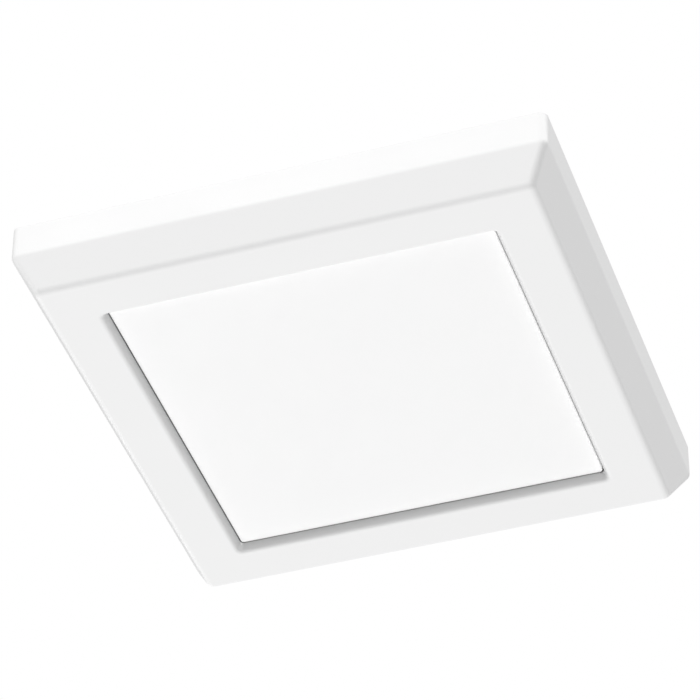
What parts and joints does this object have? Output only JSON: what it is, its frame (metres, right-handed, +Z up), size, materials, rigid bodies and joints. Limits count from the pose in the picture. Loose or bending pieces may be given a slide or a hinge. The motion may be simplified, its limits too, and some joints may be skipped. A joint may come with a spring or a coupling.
{
  "type": "led ceiling light",
  "caption": "Shallow square surface-mounted LED ceiling light with bevelled white housing and recessed opal diffuser, edge-lit, held up by a spring-clip ceiling bracket.",
  "frame": {"origin": "middle of the ceiling face, on the upper side of the bracket and level with the housing's rim", "axes": "+Z up into the ceiling; +X along the bracket, from clip to clip; -Y towards the near side of the picture"},
  "size_m": [0.225, 0.225, 0.0305],
  "materials": {
    "white_powder_coat": "satin",
    "opal_diffuser": "matte",
    "clear_acrylic": "gloss",
    "white_film": "satin",
    "white_foam": "matte",
    "white_circuit_board": "satin",
    "led_package": "satin",
    "zinc_steel": "satin",
    "spring_steel": "satin",
    "zinc_screws": "satin",
    "black_rubber": "matte",
    "white_case": "satin",
    "green_board": "satin",
    "ferrite": "matte",
    "capacitor_sleeve": "gloss",
    "terminal_white": "satin",
    "terminal_orange": "satin",
    "brass": "satin",
    "brown_insulation": "satin",
    "blue_insulation": "satin",
    "green_yellow_insulation": "satin",
    "red_insulation": "satin",
    "black_insulation": "satin"
  },
  "bodies": {
    "bracket": {"ceiling_bracket": "zinc_steel", "spring_clip_right": "spring_steel", "spring_clip_left": "spring_steel", "clip_rivets": "zinc_screws", "cable_grommet": "black_rubber"},
    "lamp": {"housing": "white_powder_coat", "diffuser": "opal_diffuser", "diffuser_gasket": "black_rubber", "light_guide": "clear_acrylic", "reflector_sheet": "white_film", "foam_pad": "white_foam", "led_strip_right": "white_circuit_board", "led_strip_far": "white_circuit_board", "led_strip_left": "white_circuit_board", "led_strip_near": "white_circuit_board", "leds_right": "led_package", "leds_far": "led_package", "leds_left": "led_package", "leds_near": "led_package", "strip_jumpers": "red_insulation", "back_cover": "zinc_steel", "cover_screws": "zinc_screws", "wire_grommet": "black_rubber", "driver_base": "white_case", "driver_lid": "white_case", "driver_board": "green_board", "driver_transformer": "ferrite", "driver_capacitors": "capacitor_sleeve", "driver_choke": "ferrite", "driver_screws": "zinc_screws", "terminal_base": "terminal_white", "terminal_block": "terminal_white", "terminal_contacts": "brass", "terminal_screws": "zinc_screws", "earth_lug": "brass", "earth_washer": "zinc_screws", "earth_screw": "brass", "live_lead": "brown_insulation", "neutral_lead": "blue_insulation", "earth_lead": "green_yellow_insulation", "led_lead_plus": "red_insulation", "led_lead_minus": "black_insulation"},
    "live_button": {"live_button": "terminal_orange"},
    "neutral_button": {"neutral_button": "terminal_orange"},
    "earth_button": {"earth_button": "terminal_orange"}
  },
  "joints": [
    {"name": "lamp_drop", "type": "slide", "parent": "bracket", "child": "lamp", "axis": [0, 0, -1], "range_m": [0, 0.06]},
    {"name": "live_button_press", "type": "slide", "parent": "lamp", "child": "live_button", "axis": [0, 0, -1], "range_m": [0, 0.0015], "stiffness_N_per_m": 1200},
    {"name": "neutral_button_press", "type": "slide", "parent": "lamp", "child": "neutral_button", "axis": [0, 0, -1], "range_m": [0, 0.0015], "stiffness_N_per_m": 1200},
    {"name": "earth_button_press", "type": "slide", "parent": "lamp", "child": "earth_button", "axis": [0, 0, -1], "range_m": [0, 0.0015], "stiffness_N_per_m": 1200}
  ]
}
